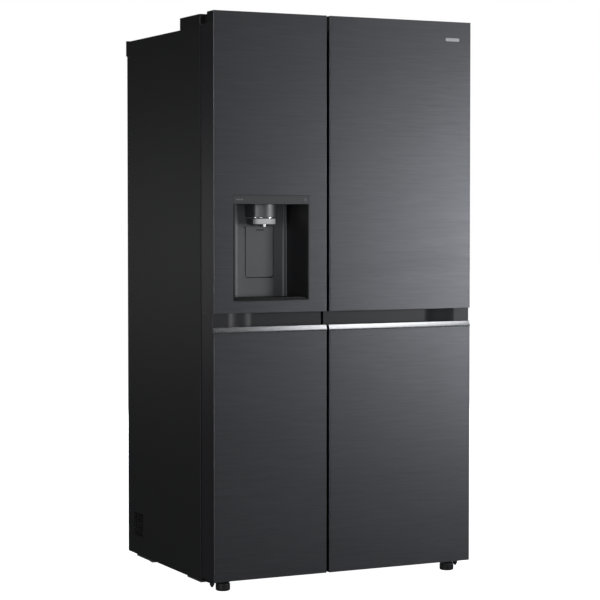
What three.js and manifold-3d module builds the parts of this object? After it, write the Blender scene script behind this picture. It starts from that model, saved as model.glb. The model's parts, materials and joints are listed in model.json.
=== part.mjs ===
// A side-by-side refrigerator: freezer on the left, fresh food on the right, one full-height
// door each, an ice and water dispenser in the freezer door and a pocket handle across both.
// Millimetres. +X is right as you face the doors, +Y goes back into the appliance, +Z is up.
// The origin is on the floor, at the centre of the whole outline.
import * as THREE from "three";
import { mergeVertices } from "three/addons/utils/BufferGeometryUtils.js";
import Module from "manifold-3d";

const wasm = await Module();
wasm.setup();

// Overall size
const WIDTH = 913;
const DEPTH = 735;
const HEIGHT = 1790;

// Fits between neighbours
const GAP = 0.3;
const SHEET = 1.2;

// Depths, front to back
const DOOR_THICK = 95;
const CASE_FRONT = 104;
const CASE_DEPTH = 620;
const frontY = -DEPTH / 2;
const caseFrontY = frontY + CASE_FRONT;
const caseBackY = caseFrontY + CASE_DEPTH;
const leftX = -WIDTH / 2;
const rightX = WIDTH / 2;

// Case heights
const CASE_BOTTOM = 25;
const CASE_TOP = 1750;
const FLANGE = 44;
const BASE_FLANGE_TOP = 100;

// Storage compartments
const FLOOR = 118;
const CEILING = 1688;
const REAR = frontY + 659;
const STEP_Y = frontY + 440;
const STEP_Z = 352;
const LINER = 2.5;
const freezer = { name: "freezer", x0: leftX + 58, x1: leftX + 363, hinge: "left" };
const fridge = { name: "fridge", x0: leftX + 423, x1: rightX - 48, hinge: "right" };
const GUIDE = { far: 102, y0: frontY + 200, y1: frontY + 590, top: 540 };
const SHELF = { thick: 5, front: frontY + 214 };
const SHELVES = {
  freezer: { lower: 548, middle: 885 },
  fridge: { lower: 548, middle: 885, upper: 1260 },
};

// Machine compartment at the bottom rear
const MACHINE_Y = caseBackY - 225;
const MACHINE_TOP = 300;
const BASE_TOP = CASE_BOTTOM + 2;
const VENT = { y0: frontY + 589, y1: frontY + 675, z0: 85, z1: 169 };
const VENT_HOLES = { columns: 5, rows: 9, wide: 12.6, high: 5.6, across: 15.6, up: 8.5, edge: 5 };
const LOUVRES = { columns: 5, rows: 4, x: -330, z: 90, across: 140, up: 40, wide: 70, high: 8 };
const ROLLER = { r: 12, wide: 24, inset: 46, y: frontY + 600, ear: 3, axle: 3 };
const RAIL = { y0: frontY + 500, y1: frontY + 650, low: 19 };
const FRONT_RAIL = { y0: frontY + 106, y1: frontY + 215, wide: 30, low: 20 };
const COMPRESSOR = { x: leftX + 520, y: caseBackY - 108, plate: 36, thick: 8, bolt: 90 };
const COIL = { x0: leftX + 50, x1: leftX + 128, y0: frontY + 530, y1: frontY + 700, top: 215 };
const FAN = { x: leftX + 165, y: frontY + 615, z: 125, r: 66, deep: 34 };
const MOTOR = { from: 22, to: 52, half: 22, above: 24 };
const PAN = { x0: leftX + 230, x1: leftX + 405, y0: frontY + 530, y1: frontY + 705, top: 76 };
const MOTOR_SHAFT = 4;
const SHAFT_HOLE = 4.4;

// Cold air duct and ice maker in the freezer
const EVAPORATOR = { side: 30, front: 46, back: 8, z0: STEP_Z + 40, z1: 700 };
const DUCT = { front: REAR - 58, back: REAR - 54, bottom: STEP_Z + 2, top: 1680, side: 8 };
const OUTLETS = { levels: [640, 980, 1340, 1600], offsets: [-90, -30, 30], wide: 44, high: 12 };
const DUCT_FAN = { y: REAR - 26, z: 790, r: 56, deep: 22 };
const ICE_MOULD = { left: 60, right: 70, y0: frontY + 160, y1: frontY + 400, z0: 1590, z1: 1640 };

// Doors. Across a door, u runs from its hinge side; v runs back from its front face.
const FREEZER_DOOR = 389;
const FRIDGE_DOOR = 515.6;
const DOOR_BOTTOM = 36.6;
const SKIN_RADIUS = 4;
const PIVOT_U = 19;
const PIVOT_V = 60;
const PIN_R = 5;
const PIN_HOLE_R = 5.6;
const CAP_BOTTOM = 1752;
const CAP_STEP = 1756;
const CAP_FRONT_V = 49;
const DYKE_V = 135;
const DYKE_WIDE = 22;
const GASKET = { u: 26, wide: 18, z0: 72, z1: 1730, v0: DOOR_THICK + GAP, v1: CASE_FRONT - GAP };

// Pocket handle
const HANDLE = { trimBottom: 803, lipTop: 821, top: 864, floor: 799, shallow: 12, deep: 43 };
const POCKET_BACK = 47;
const RAMP = { start: 48, end: 150 };

// Dispenser, in the freezer door
const DISPENSER = { u0: 66, u1: 326, z0: 901, z1: 1227, ceiling: 1200, depth: 92 };
const DISPENSER_FLOOR = 906;
const HOUSING_BACK = 98;
const PADDLE = { u0: 149, u1: 244, z0: 972, z1: 1132, v: 91, thick: 3, room: 112 };

// Drawers and bins
const DRAWER = { front: frontY + 221, lip: 9, wall: 3 };
const BIN_BACK = 200;
const BIN_WALL = 3;

// ---------------------------------------------------------------- solids

function solidOf(geometry) {
  const bare = geometry.clone();
  for (const key of Object.keys(bare.attributes)) {
    if (key !== "position") bare.deleteAttribute(key);
  }
  const merged = mergeVertices(bare, 1e-4);
  return new wasm.Manifold(
    new wasm.Mesh({
      numProp: 3,
      vertProperties: merged.attributes.position.array,
      triVerts: new Uint32Array(merged.index.array),
    }),
  );
}

function geometryOf(solid) {
  const mesh = solid.getMesh();
  const points = new Float32Array(mesh.numVert * 3);
  for (let i = 0; i < mesh.numVert; i++) {
    points.set(mesh.vertProperties.subarray(i * mesh.numProp, i * mesh.numProp + 3), i * 3);
  }
  const indexed = new THREE.BufferGeometry()
    .setAttribute("position", new THREE.BufferAttribute(points, 3))
    .setIndex(new THREE.BufferAttribute(mesh.triVerts, 1));
  const flat = indexed.toNonIndexed();
  flat.computeVertexNormals();
  return flat;
}

const join = (...solids) => solids.reduce((all, next) => all.add(next));
const cut = (base, ...tools) => tools.reduce((rest, tool) => rest.subtract(tool), base);

function block(x0, x1, y0, y1, z0, z1) {
  const box = new THREE.BoxGeometry(x1 - x0, y1 - y0, z1 - z0);
  return solidOf(box.translate((x0 + x1) / 2, (y0 + y1) / 2, (z0 + z1) / 2));
}

// A shape drawn in plan (x, y), standing from z0 to z1.
function prism(shape, z0, z1) {
  const outline = Array.isArray(shape)
    ? new THREE.Shape(shape.map((p) => new THREE.Vector2(...p)))
    : shape;
  const settings = { depth: z1 - z0, bevelEnabled: false, curveSegments: 4 };
  return solidOf(new THREE.ExtrudeGeometry(outline, settings).translate(0, 0, z0));
}

// A section drawn in (y, z), running from x0 to x1.
function bar(section, x0, x1) {
  const outline = new THREE.Shape(section.map((p) => new THREE.Vector2(...p)));
  const geometry = new THREE.ExtrudeGeometry(outline, { depth: x1 - x0, bevelEnabled: false });
  const turn = new THREE.Matrix4().makeBasis(
    new THREE.Vector3(0, 1, 0),
    new THREE.Vector3(0, 0, 1),
    new THREE.Vector3(1, 0, 0),
  );
  return solidOf(geometry.applyMatrix4(turn).translate(x0, 0, 0));
}

// A turned piece: profile points are (radius, height), from the bottom of the axis to the top.
function turned(profile, x, y, z, axis = "z", sides = 24) {
  const points = profile.map((p) => new THREE.Vector2(...p));
  const geometry = new THREE.LatheGeometry(points, sides);
  if (axis === "z") geometry.rotateX(Math.PI / 2);
  if (axis === "x") geometry.rotateZ(-Math.PI / 2);
  return solidOf(geometry.translate(x, y, z));
}

function rod(x, y, z0, z1, radius, sides = 24) {
  const shape = [[0, 0], [radius, 0], [radius, z1 - z0], [0, z1 - z0]];
  return turned(shape, x, y, z0, "z", sides);
}

function roundedRectangle(x0, x1, y0, y1, radius) {
  const shape = new THREE.Shape();
  shape.moveTo(x0 + radius, y0);
  shape.lineTo(x1 - radius, y0);
  shape.absarc(x1 - radius, y0 + radius, radius, -Math.PI / 2, 0);
  shape.lineTo(x1, y1 - radius);
  shape.absarc(x1 - radius, y1 - radius, radius, 0, Math.PI / 2);
  shape.lineTo(x0 + radius, y1);
  shape.absarc(x0 + radius, y1 - radius, radius, Math.PI / 2, Math.PI);
  shape.lineTo(x0, y0 + radius);
  shape.absarc(x0 + radius, y0 + radius, radius, Math.PI, 1.5 * Math.PI);
  return shape;
}

// An open-topped moulded box.
function tray(x0, x1, y0, y1, z0, z1, wall, radius) {
  const inner = roundedRectangle(x0 + wall, x1 - wall, y0 + wall, y1 - wall, radius - wall);
  return cut(
    prism(roundedRectangle(x0, x1, y0, y1, radius), z0, z1),
    prism(inner, z0 + wall, z1 + 1),
  );
}

// A fin-and-tube coil: thin plates across x, held by tubes that run through them.
function finCoil(x0, x1, y0, y1, z0, z1, fins) {
  const plate = 2;
  const pitch = (x1 - x0 - plate) / (fins - 1);
  let coil = null;
  for (let i = 0; i < fins; i++) {
    const at = x0 + i * pitch;
    const fin = block(at, at + plate, y0, y1, z0, z1);
    coil = coil ? coil.add(fin) : fin;
  }
  const rows = 3;
  for (let i = 0; i < rows; i++) {
    const z = z0 + ((i + 0.5) * (z1 - z0)) / rows;
    const y = (y0 + y1) / 2;
    coil = coil.add(block(x0 - 6, x1 + 6, y - 4, y + 4, z - 4, z + 4));
  }
  return coil;
}

// ---------------------------------------------------------------- materials

const finish = (color, roughness, metalness) =>
  new THREE.MeshStandardMaterial({ color, roughness, metalness });
const blackSteel = finish(0x4a4c50, 0.42, 0.8);
const paintedSteel = finish(0x2c2d2f, 0.55, 0.4);
const brightMetal = finish(0xc9cbd0, 0.25, 1);
const zincSteel = finish(0x8f9296, 0.45, 0.8);
const blackPlastic = finish(0x1b1b1d, 0.6, 0);
const greyPlastic = finish(0x515358, 0.5, 0);
const whitePlastic = finish(0xe9ebec, 0.4, 0);
const clearPlastic = finish(0xdfe6ea, 0.2, 0);
const glass = finish(0xd6e4e0, 0.1, 0);
const rubber = finish(0x2a2a2c, 0.85, 0);
const foam = finish(0xe6d9a8, 0.95, 0);
const castIron = finish(0x202124, 0.6, 0.5);

const refrigerator = new THREE.Group();
function part(group, name, solid, material) {
  const mesh = new THREE.Mesh(geometryOf(solid), material);
  mesh.name = name;
  group.add(mesh);
}

// ---------------------------------------------------------------- case

const inLeft = leftX + SHEET + GAP;
const inRight = rightX - SHEET - GAP;
const flangeLeft = leftX + FLANGE + GAP;
const flangeRight = rightX - FLANGE - GAP;
const behindFlange = caseFrontY + SHEET + GAP;

// Outer case: one steel sheet folded down both sides, with its front edges turned inwards.
const caseFrame = cut(
  block(leftX, rightX, caseFrontY, caseFrontY + SHEET, CASE_BOTTOM, CASE_TOP),
  block(leftX + FLANGE, rightX - FLANGE, frontY, caseBackY, 0, CASE_TOP - FLANGE),
);
const outerCase = cut(
  join(
    block(leftX, leftX + SHEET, caseFrontY, caseBackY, CASE_BOTTOM, CASE_TOP),
    block(rightX - SHEET, rightX, caseFrontY, caseBackY, CASE_BOTTOM, CASE_TOP),
    block(leftX, rightX, caseFrontY, caseBackY, CASE_TOP - SHEET, CASE_TOP),
    caseFrame,
  ),
  block(leftX - 1, leftX + 2, VENT.y0, VENT.y1, VENT.z0, VENT.z1),
);
part(refrigerator, "outer_case", outerCase, paintedSteel);

// Base plate, with the rails and ears that carry the two rear rollers.
function rollerEars(x) {
  const half = ROLLER.wide / 2 + 0.5;
  const ears = [-1, 1].map((side) => {
    const inner = x + side * half;
    const outer = x + side * (half + ROLLER.ear);
    const x0 = Math.min(inner, outer);
    const x1 = Math.max(inner, outer);
    return join(
      block(x0, x1, ROLLER.y - 9, ROLLER.y + 9, 4, CASE_BOTTOM + 1),
      block(x0, x1, RAIL.y0, RAIL.y1, RAIL.low, CASE_BOTTOM + 1),
    );
  });
  const rim = x < 0 ? [inLeft, x - half] : [x + half, inRight];
  ears.push(block(...rim, RAIL.y0, RAIL.y1, RAIL.low, CASE_BOTTOM + 1));
  const length = ROLLER.wide + 2 * ROLLER.ear + 2;
  const hole = [[0, 0], [ROLLER.axle + 0.4, 0], [ROLLER.axle + 0.4, length], [0, length]];
  return cut(join(...ears), turned(hole, x - length / 2, ROLLER.y, ROLLER.r, "x", 16));
}
const rollerXs = [leftX + ROLLER.inset, rightX - ROLLER.inset];
const frontRail = (x0, x1) =>
  block(x0, x1, FRONT_RAIL.y0, FRONT_RAIL.y1, FRONT_RAIL.low, CASE_BOTTOM + 1);
const basePlate = join(
  block(inLeft, inRight, behindFlange, caseBackY - 1.5, CASE_BOTTOM, BASE_TOP),
  block(flangeLeft, flangeRight, caseFrontY, behindFlange + 1, CASE_BOTTOM, BASE_TOP),
  block(flangeLeft, flangeRight, caseFrontY, caseFrontY + SHEET, CASE_BOTTOM, BASE_FLANGE_TOP),
  ...rollerXs.map(rollerEars),
  frontRail(inLeft, inLeft + FRONT_RAIL.wide),
  frontRail(inRight - FRONT_RAIL.wide, inRight),
);
part(refrigerator, "base_plate", basePlate, zincSteel);

part(
  refrigerator, "back_panel",
  block(inLeft, inRight, caseBackY - SHEET, caseBackY, MACHINE_TOP + 5, CASE_TOP - SHEET - GAP),
  zincSteel,
);

// Cover over the machine compartment, with rows of louvre slots.
function grid(plate, holes, holeAt) {
  let result = plate;
  for (let column = 0; column < holes.columns; column++) {
    for (let row = 0; row < holes.rows; row++) {
      result = cut(result, holeAt(column * holes.across, row * holes.up));
    }
  }
  return result;
}
const plainCover = block(
  inLeft, inRight, caseBackY - SHEET, caseBackY, BASE_TOP + GAP, MACHINE_TOP + 5 - GAP,
);
const machineCover = grid(plainCover, LOUVRES, (across, up) => {
  const x = LOUVRES.x + across;
  const z = LOUVRES.z + up;
  return block(x, x + LOUVRES.wide, caseBackY - 3, caseBackY + 1, z, z + LOUVRES.high);
});
part(refrigerator, "machine_cover", machineCover, zincSteel);

// Wiring cover along the top rear edge; it also keeps the case off the wall.
part(
  refrigerator, "rear_top_cover",
  block(leftX, rightX, caseBackY + GAP, DEPTH / 2, 1701, 1753),
  blackPlastic,
);

// The space inside one compartment, grown by a margin on every side but the front. The floor
// steps up over the machine compartment, and a guide on the hinge side lines up the drawers.
function cavity(room, margin) {
  const x0 = room.x0 - margin;
  const x1 = room.x1 + margin;
  const start = caseFrontY - 5;
  const guideWide = GUIDE.far - (room.hinge === "left" ? room.x0 - leftX : rightX - room.x1) - 4;
  const guide = room.hinge === "left"
    ? [room.x0 - 5, room.x0 + guideWide - margin]
    : [room.x1 - guideWide + margin, room.x1 + 5];
  return cut(
    join(
      block(x0, x1, start, REAR + margin, STEP_Z - margin, CEILING + margin),
      block(x0, x1, start, STEP_Y + margin, FLOOR - margin, CEILING + margin),
    ),
    block(...guide, GUIDE.y0 + margin, GUIDE.y1 - margin, FLOOR - 5, GUIDE.top - margin),
  );
}

const insulation = cut(
  block(
    inLeft, inRight, behindFlange, caseBackY - SHEET - GAP,
    BASE_TOP + GAP, CASE_TOP - SHEET - GAP,
  ),
  cavity(freezer, LINER + GAP),
  cavity(fridge, LINER + GAP),
  block(inLeft - 1, inRight + 1, MACHINE_Y, caseBackY + 1, 0, MACHINE_TOP),
);
part(refrigerator, "insulation", insulation, foam);

// Thermoformed inner box with its front rim and the ledges that carry the shelves.
const LEDGE = { wide: 7, high: 6 };
function liner(room) {
  const outer = room.hinge === "left"
    ? [flangeLeft, room.x1 + LINER]
    : [room.x0 - LINER, flangeRight];
  const rimTop = CASE_TOP - FLANGE - GAP;
  const shell = cut(
    join(
      block(...outer, caseFrontY, caseFrontY + SHEET, BASE_FLANGE_TOP + GAP, rimTop),
      cavity(room, LINER).intersect(
        block(leftX, rightX, caseFrontY + SHEET / 2, REAR + 20, 0, HEIGHT),
      ),
    ),
    cavity(room, 0),
  );
  const ledges = Object.values(SHELVES[room.name]).flatMap((z) => [
    block(room.x0 - 1, room.x0 + LEDGE.wide, SHELF.front, GUIDE.y1, z - LEDGE.high, z - GAP),
    block(room.x1 - LEDGE.wide, room.x1 + 1, SHELF.front, GUIDE.y1, z - LEDGE.high, z - GAP),
  ]);
  return join(shell, ...ledges);
}
part(refrigerator, "freezer_liner", liner(freezer), whitePlastic);
part(refrigerator, "fridge_liner", liner(fridge), whitePlastic);

part(
  refrigerator, "mullion_cover",
  block(
    freezer.x1 + 3, fridge.x0 - 3, caseFrontY, caseFrontY + SHEET,
    BASE_FLANGE_TOP + GAP, CASE_TOP - FLANGE - GAP,
  ),
  greyPlastic,
);

// Moulded grille that clips into the left side, over the machine compartment.
const plainGrille = join(
  block(leftX, leftX + 3, VENT.y0 + GAP, VENT.y1 - GAP, VENT.z0 + GAP, VENT.z1 - GAP),
  block(leftX + SHEET + GAP, leftX + 3, VENT.y0 - 4, VENT.y1 + 4, VENT.z0 - 4, VENT.z1 + 4),
);
const grille = grid(plainGrille, VENT_HOLES, (across, up) => {
  const y = VENT.y0 + VENT_HOLES.edge + across;
  const z = VENT.z0 + VENT_HOLES.edge + up;
  return block(leftX - 1, leftX + 4, y, y + VENT_HOLES.wide, z, z + VENT_HOLES.high);
});
part(refrigerator, "vent_grille", grille, blackPlastic);

// ---------------------------------------------------------------- cooling machinery

// Compressor: a welded shell on a plate with four rubber-footed bolts, and its terminal box.
function compressor() {
  const { x, y, plate, thick, bolt } = COMPRESSOR;
  const shell = [
    [0, 0], [66, 0], [78, 8], [86, 34], [86, 92], [76, 124], [50, 144], [0, 150],
  ];
  const bolts = [[-bolt, -45], [bolt, -45], [-bolt, 45], [bolt, 45]].map(([dx, dy]) =>
    rod(x + dx, y + dy, BASE_TOP + GAP, plate + 4, 11, 12),
  );
  return join(
    turned(shell, x, y, plate + 5),
    block(x - bolt - 15, x + bolt + 15, y - 60, y + 60, plate, plate + thick),
    block(x + 78, x + 104, y - 26, y + 26, 70, 120),
    ...bolts,
  );
}
part(refrigerator, "compressor", compressor(), castIron);

// Condenser coil, with the bracket that holds the fan motor on the same foot.
function condenser() {
  const foot = BASE_TOP + 16;
  const boreLength = MOTOR.to - MOTOR.from + 4;
  const bore = [[0, 0], [SHAFT_HOLE, 0], [SHAFT_HOLE, boreLength], [0, boreLength]];
  const motor = cut(
    block(
      FAN.x + MOTOR.from, FAN.x + MOTOR.to, FAN.y - MOTOR.half, FAN.y + MOTOR.half,
      foot - 2, FAN.z + MOTOR.above,
    ),
    turned(bore, FAN.x + MOTOR.from - 2, FAN.y, FAN.z, "x", 16),
  );
  return join(
    finCoil(COIL.x0, COIL.x1, COIL.y0, COIL.y1, foot - 2, COIL.top, 7),
    block(
      COIL.x0, FAN.x + MOTOR.to, FAN.y - MOTOR.half, FAN.y + MOTOR.half, BASE_TOP + GAP, foot,
    ),
    motor,
  );
}
part(refrigerator, "condenser", condenser(), zincSteel);

// A bladed wheel on a shaft that sticks out to its motor side, turning about x.
function fanWheel(radius, depth, shaft) {
  const pitch = 0.6;
  const blades = [0, 1, 2, 3, 4].map((i) => {
    const blade = new THREE.BoxGeometry(3, radius - 10, depth);
    blade.rotateY(pitch);
    blade.translate(0, radius / 2, 0);
    blade.rotateX((i * 2 * Math.PI) / 5);
    return solidOf(blade);
  });
  const hub = [[0, 0], [18, 0], [18, 20], [0, 20]];
  const spindle = [[0, 0], [MOTOR_SHAFT, 0], [MOTOR_SHAFT, shaft], [0, shaft]];
  return join(
    turned(hub, -10, 0, 0, "x", 20),
    turned(spindle, 0, 0, 0, "x", 12),
    ...blades,
  );
}
part(
  refrigerator, "condenser_fan",
  fanWheel(FAN.r, FAN.deep, 40).translate(FAN.x, FAN.y, FAN.z),
  blackPlastic,
);

// Pan that catches the defrost water beside the fan.
const pan = tray(PAN.x0, PAN.x1, PAN.y0, PAN.y1, BASE_TOP + GAP, PAN.top, 2, 14);
part(refrigerator, "drain_pan", pan, blackPlastic);

part(
  refrigerator, "evaporator",
  finCoil(
    freezer.x0 + EVAPORATOR.side, freezer.x1 - EVAPORATOR.side,
    REAR - EVAPORATOR.front, REAR - EVAPORATOR.back, EVAPORATOR.z0, EVAPORATOR.z1, 14,
  ),
  brightMetal,
);

// Cover over the cold air duct, with the outlets and the boss that carries the fan.
const freezerMiddle = (freezer.x0 + freezer.x1) / 2;
function ductCover() {
  const outlets = OUTLETS.levels.flatMap((z) =>
    OUTLETS.offsets.map((offset) => {
      const x = freezerMiddle + offset;
      return block(x, x + OUTLETS.wide, DUCT.front - 1, DUCT.back + 1, z, z + OUTLETS.high);
    }),
  );
  const boss = [[SHAFT_HOLE, 0], [12, 0], [12, 14], [SHAFT_HOLE, 14], [SHAFT_HOLE, 0]];
  return join(
    cut(
      block(
        freezer.x0 + DUCT.side, freezer.x1 - DUCT.side,
        DUCT.front, DUCT.back, DUCT.bottom, DUCT.top,
      ),
      ...outlets,
    ),
    turned(boss, freezerMiddle, DUCT.back - 1, DUCT_FAN.z, "y", 16),
  );
}
part(refrigerator, "duct_cover", ductCover(), whitePlastic);
part(
  refrigerator, "evaporator_fan",
  fanWheel(DUCT_FAN.r, DUCT_FAN.deep, 26)
    .rotate([0, 0, -90])
    .translate(freezerMiddle, DUCT_FAN.y, DUCT_FAN.z),
  blackPlastic,
);

// Ice maker: an open mould, hung from the ceiling of the freezer over the ice bank.
function iceMaker() {
  const { left, right, y0, y1, z0, z1 } = ICE_MOULD;
  const x0 = freezer.x0 + left;
  const hangers = [y0 + 20, y1 - 60].map((y) =>
    block(x0, x0 + 3, y, y + 40, z1 - 20, CEILING - GAP),
  );
  return join(tray(x0, freezer.x1 - right, y0, y1, z0, z1, 3, 6), ...hangers);
}
part(refrigerator, "ice_maker", iceMaker(), greyPlastic);

// ---------------------------------------------------------------- shelves and drawers

for (const room of [freezer, fridge]) {
  const back = room === freezer ? DUCT.front - 2 : REAR - 4;
  for (const [level, z] of Object.entries(SHELVES[room.name])) {
    const slab = roundedRectangle(room.x0 + 1, room.x1 - 1, SHELF.front, back, 6);
    part(refrigerator, `${room.name}_shelf_${level}`, prism(slab, z, z + SHELF.thick), glass);
  }
}

// A drawer with a thick front and a pull lip along its top edge. The upper one is cut away
// at the rear, where the floor of the compartment steps up.
function drawer(room, back, z0, z1, step) {
  const x0 = room.hinge === "left" ? leftX + GUIDE.far : room.x0 + 5;
  const x1 = room.hinge === "left" ? room.x1 - 5 : rightX - GUIDE.far;
  const { front, lip, wall } = DRAWER;
  const box = (inset, low, top) => {
    const deep = [x0 + inset, x1 - inset, front + inset, back - inset, step + low, top];
    const short = [x0 + inset, x1 - inset, front + inset, STEP_Y - 8 - inset, z0 + low, top];
    return join(block(...deep), block(...short));
  };
  return join(
    cut(box(0, 0, z1), box(wall, wall, z1 + 1)),
    block(x0, x1, front, front + 10, z0, z1),
    block(x0, x1, front - lip, front + 4, z1 - 5, z1),
  );
}
for (const room of [freezer, fridge]) {
  const kind = room === freezer ? "freezer_drawer" : "crisper";
  const deep = room === freezer ? DUCT.front - 4 : REAR - 10;
  const lower = drawer(room, STEP_Y - 8, FLOOR + 1, 322, FLOOR + 1);
  part(refrigerator, `${kind}_lower`, lower, clearPlastic);
  const upper = drawer(room, deep, 330, 538, STEP_Z + 2);
  part(refrigerator, `${kind}_upper`, upper, clearPlastic);
}

// ---------------------------------------------------------------- doors

// Plan of a door skin: a front sheet with rounded corners and straight sides.
function skinPlan(width) {
  const r = SKIN_RADIUS;
  const shape = new THREE.Shape();
  shape.moveTo(0, DOOR_THICK);
  shape.lineTo(0, r);
  shape.absarc(r, r, r, Math.PI, 1.5 * Math.PI);
  shape.lineTo(width - r, 0);
  shape.absarc(width - r, r, r, -Math.PI / 2, 0);
  shape.lineTo(width, DOOR_THICK);
  shape.lineTo(width - SHEET, DOOR_THICK);
  shape.lineTo(width - SHEET, r);
  shape.absarc(width - r, r, r - SHEET, 0, -Math.PI / 2, true);
  shape.lineTo(r, SHEET);
  shape.absarc(r, r, r - SHEET, 1.5 * Math.PI, Math.PI, true);
  shape.lineTo(SHEET, DOOR_THICK);
  return shape;
}

// Depth of the handle pocket across the door: shallow at the hinge, deep from the ramp on.
function pocketPlan(width) {
  const steps = 8;
  const points = [[-1, -1], [-1, HANDLE.shallow]];
  for (let i = 0; i <= steps; i++) {
    const share = i / steps;
    const rise = (1 - Math.cos(Math.PI * share)) / 2;
    points.push([
      RAMP.start + share * (RAMP.end - RAMP.start),
      HANDLE.shallow + rise * (HANDLE.deep - HANDLE.shallow),
    ]);
  }
  points.push([width + 1, HANDLE.deep], [width + 1, -1]);
  return points.reverse();
}

function handlePocket(width) {
  const u0 = SHEET + GAP;
  const u1 = width - u0;
  const corner = SKIN_RADIUS + GAP;
  const front = HANDLE.shallow + GAP;
  const roof = HANDLE.top + GAP;
  const lip = block(u0, u1, front, front + 3, HANDLE.floor - 1, HANDLE.lipTop);
  const outer = join(
    block(u0, u1, front, POCKET_BACK, HANDLE.floor - 5, roof + 3),
    block(corner, width - corner, SHEET + GAP, POCKET_BACK, roof, roof + 3),
  );
  return join(cut(outer, prism(pocketPlan(width), HANDLE.floor, roof)), lip);
}

function handleTrim(width) {
  return bar(
    [
      [0, HANDLE.trimBottom + GAP], [HANDLE.shallow, HANDLE.trimBottom + GAP],
      [HANDLE.shallow, HANDLE.lipTop], [6, HANDLE.lipTop], [1, HANDLE.trimBottom + 5],
    ],
    0, width,
  );
}

// Foamed inner panel: the core behind the skin, and the raised rim that enters the case.
function innerPanel(width, rimStart, rimEnd, dispenser) {
  const side = SHEET + GAP;
  const rim = (inset, v) => block(
    rimStart + inset, rimEnd - inset, DOOR_THICK - 5, v, FLOOR + 14 + inset, CEILING - 14 - inset,
  );
  const tall = { z0: DOOR_BOTTOM, z1: CAP_BOTTOM - GAP };
  const corner = SKIN_RADIUS;
  const plan = [
    [side, DOOR_THICK], [side, corner], [corner, side],
    [width - corner, side], [width - side, corner], [width - side, DOOR_THICK],
  ];
  let panel = join(
    prism(plan, tall.z0, tall.z1),
    cut(rim(0, DYKE_V), rim(DYKE_WIDE, DYKE_V + 1)),
  );
  if (dispenser) {
    panel = panel.add(block(84, 336, DOOR_THICK - 5, 140, 880, 1250));
  }
  panel = cut(
    panel,
    block(-1, width + 1, -1, POCKET_BACK + GAP, HANDLE.floor - 5.3, HANDLE.top + 3.6),
    rod(PIVOT_U, PIVOT_V, tall.z1 - 18, tall.z1 + 1, PIN_HOLE_R),
    rod(PIVOT_U, PIVOT_V, tall.z0 - 1, tall.z0 + 25, PIN_HOLE_R),
  );
  if (!dispenser) return panel;
  const { u0, u1, z0, z1 } = DISPENSER;
  return cut(
    panel,
    block(u0, u1, -1, HOUSING_BACK + GAP, z0, z1),
    block(PADDLE.u0 - 9, PADDLE.u1 + 9, 90, PADDLE.room + 6, PADDLE.z0 - 12, PADDLE.z1 + 8),
  );
}

// Magnetic gasket: four soft strips welded into one ring.
function gasket(width) {
  const { u, wide, z0, z1, v0, v1 } = GASKET;
  const far = width - 3;
  return cut(
    prism(roundedRectangle(u, far, v0, v1, 2), z0, z1),
    block(u + wide, far - wide, v0 - 1, v1 + 1, z0 + wide, z1 - wide),
  );
}

function capTop(width) {
  const section = [
    [SKIN_RADIUS + GAP, CAP_BOTTOM], [DOOR_THICK, CAP_BOTTOM], [DOOR_THICK, CAP_STEP],
    [CAP_FRONT_V, CAP_STEP], [CAP_FRONT_V, HEIGHT - 3], [CAP_FRONT_V - 3, HEIGHT - 0.5],
    [SKIN_RADIUS + GAP, HEIGHT - 0.5],
  ];
  return cut(
    join(
      bar(section, SHEET + GAP, width - SHEET - GAP),
      bar([
        [SKIN_RADIUS + GAP, CAP_STEP], [CAP_FRONT_V, CAP_STEP], [CAP_FRONT_V, HEIGHT - 3],
        [CAP_FRONT_V - 3, HEIGHT - 0.5], [SKIN_RADIUS + GAP, HEIGHT - 0.5],
      ], 0, width),
    ),
    rod(PIVOT_U, PIVOT_V, CAP_BOTTOM - 1, CAP_STEP + 1, PIN_HOLE_R),
  );
}

function skins(width, dispenser) {
  const upper = cut(
    prism(skinPlan(width), HANDLE.top, HEIGHT),
    block(-1, width + 1, SKIN_RADIUS, DOOR_THICK + 1, CAP_STEP - GAP, HEIGHT + 1),
  );
  const { u0, u1, z0, z1 } = DISPENSER;
  const lower = cut(
    prism(skinPlan(width), DOOR_BOTTOM, HANDLE.top - GAP),
    block(-1, width + 1, -1, HANDLE.shallow, HANDLE.trimBottom, HANDLE.top),
    block(width - 3, width + 1, -1, HANDLE.deep, HANDLE.trimBottom, HANDLE.top),
  );
  return {
    upper: dispenser ? cut(upper, block(u0, u1, -1, 5, z0, z1)) : upper,
    lower,
  };
}

function door(name, width, rimStart, rimEnd, dispenser) {
  const group = new THREE.Group();
  const sheet = skins(width, dispenser);
  part(group, `${name}_skin_upper`, sheet.upper, blackSteel);
  part(group, `${name}_skin_lower`, sheet.lower, blackSteel);
  part(group, `${name}_handle_pocket`, handlePocket(width), greyPlastic);
  part(group, `${name}_handle_trim`, handleTrim(width), brightMetal);
  part(group, `${name}_inner_panel`, innerPanel(width, rimStart, rimEnd, dispenser), whitePlastic);
  part(group, `${name}_gasket`, gasket(width), rubber);
  part(group, `${name}_cap`, capTop(width), blackPlastic);
  refrigerator.add(group);
  return group;
}

const freezerDoor = door("freezer_door", FREEZER_DOOR, 70, 350, true);
freezerDoor.position.set(leftX, frontY, 0);
const fridgeDoor = door("fridge_door", FRIDGE_DOOR, 60, 476, false);
fridgeDoor.position.set(rightX, frontY, 0);
fridgeDoor.scale.x = -1;

// ---------------------------------------------------------------- dispenser

// Pivot pins of the paddle, in sockets of the housing.
const PADDLE_PIN = { v: PADDLE.v + 1.5, z: PADDLE.z1 - 4, r: 2, reach: 5 };
function paddlePins(radius, reach) {
  const length = PADDLE.u1 - PADDLE.u0 + 2 * reach;
  const profile = [[0, 0], [radius, 0], [radius, length], [0, length]];
  return turned(profile, PADDLE.u0 - reach, PADDLE_PIN.v, PADDLE_PIN.z, "x", 12);
}

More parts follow.
